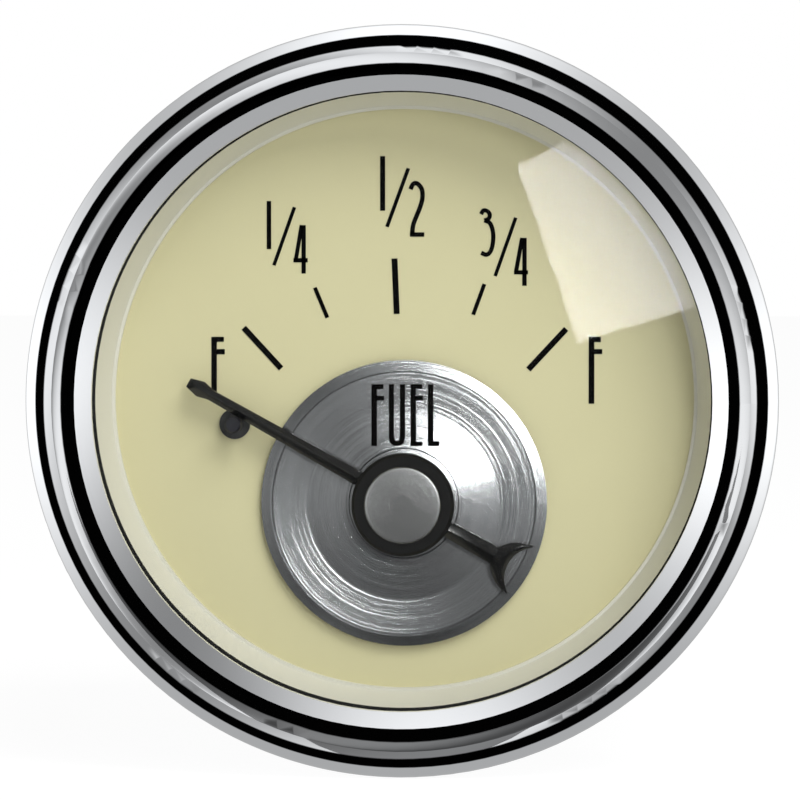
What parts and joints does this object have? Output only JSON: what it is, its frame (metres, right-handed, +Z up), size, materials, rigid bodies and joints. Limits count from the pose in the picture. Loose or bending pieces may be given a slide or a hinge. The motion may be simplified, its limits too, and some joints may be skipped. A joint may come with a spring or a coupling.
{
  "type": "fuel gauge",
  "caption": "Round dashboard fuel gauge with a rolled bright bezel, domed glass, cream dial, black pointer and a rear clamp bracket.",
  "frame": {"origin": "on the gauge's axis, in the plane where the bezel's rear lip meets the panel", "axes": "+Y along the axis out of the back of the case, -Y out of the glass, +Z up the dial, +X to the right as the dial is read"},
  "size_m": [0.0604, 0.0595, 0.0604],
  "materials": {
    "bezel_chrome": "polished",
    "lens_glass": "clear polished",
    "black_rubber": "matt",
    "pale_plastic": "satin",
    "cream_paint": "satin",
    "black_ink": "matt",
    "brushed_disc": "circular brushed",
    "dark_pin": "satin",
    "pointer_black": "satin",
    "hub_black": "semi-gloss",
    "turned_cap": "turned",
    "steel": "ground",
    "magnet": "sintered",
    "brass": "turned",
    "ivory_plastic": "moulded",
    "copper_wire": "enamelled",
    "can_steel": "drawn",
    "board_resin": "laminate",
    "resistor_body": "matt",
    "case_zinc": "zinc plated",
    "brown_fibre": "pressed fibre",
    "zinc_fastener": "zinc plated",
    "brass_nut": "machined",
    "bracket_zinc": "zinc plated",
    "black_plastic": "moulded",
    "bulb_glass": "clear"
  },
  "bodies": {
    "housing": {"bezel": "bezel_chrome", "lens": "lens_glass", "lens_gasket": "black_rubber", "light_ring": "pale_plastic", "dial_plate": "cream_paint", "scale_marks": "black_ink", "center_disc": "brushed_disc", "stop_pin": "dark_pin", "front_bearing": "brass", "rear_bearing": "brass", "bobbin_front": "ivory_plastic", "bobbin_rear": "ivory_plastic", "coil_inner": "copper_wire", "coil_outer": "copper_wire", "shield_can": "can_steel", "dial_posts": "brass", "dial_screws": "steel", "movement_screws": "steel", "circuit_board": "board_resin", "resistor": "resistor_body", "case": "case_zinc", "terminal_studs": "brass", "insulators_inner": "brown_fibre", "insulators_outer": "brown_fibre", "terminal_washers": "zinc_fastener", "terminal_nuts": "brass_nut", "mounting_studs": "zinc_fastener", "stud_nuts": "zinc_fastener"},
    "pointer": {"pointer_arm": "pointer_black", "pointer_hub": "hub_black", "pointer_cap": "turned_cap", "spindle": "steel", "rotor_magnet": "magnet"},
    "bracket": {"mounting_bracket": "bracket_zinc", "bracket_washers": "zinc_fastener"},
    "nut_left": {"bracket_nut_left": "zinc_fastener"},
    "nut_right": {"bracket_nut_right": "zinc_fastener"},
    "lamp": {"lamp_socket": "black_plastic", "lamp_bulb": "bulb_glass", "lamp_contacts": "brass"}
  },
  "joints": [
    {"name": "pointer_swing", "type": "hinge", "parent": "housing", "child": "pointer", "pos_m": [0, 0, -0.00845], "axis": [0, 1, 0], "range_deg": [0, 118]},
    {"name": "bracket_slide", "type": "slide", "parent": "housing", "child": "bracket", "axis": [0, 1, 0], "range_m": [-0.005, 0.004]},
    {"name": "nut_left_turn", "type": "hinge", "parent": "bracket", "child": "nut_left", "pos_m": [-0.017, 0.04215, 0], "axis": [0, 1, 0], "range_deg": [-2278, 1824]},
    {"name": "nut_right_turn", "type": "hinge", "parent": "bracket", "child": "nut_right", "pos_m": [0.017, 0.04215, 0], "axis": [0, 1, 0], "range_deg": [-2278, 1824]},
    {"name": "lamp_pull", "type": "slide", "parent": "housing", "child": "lamp", "axis": [0, 1, 0], "range_m": [0, 0.022]}
  ],
  "couplings": [
    {"joint": "nut_left_turn", "follows": "bracket_slide", "rad_per_m": 7915.8},
    {"joint": "nut_right_turn", "follows": "bracket_slide", "rad_per_m": 7915.8}
  ]
}
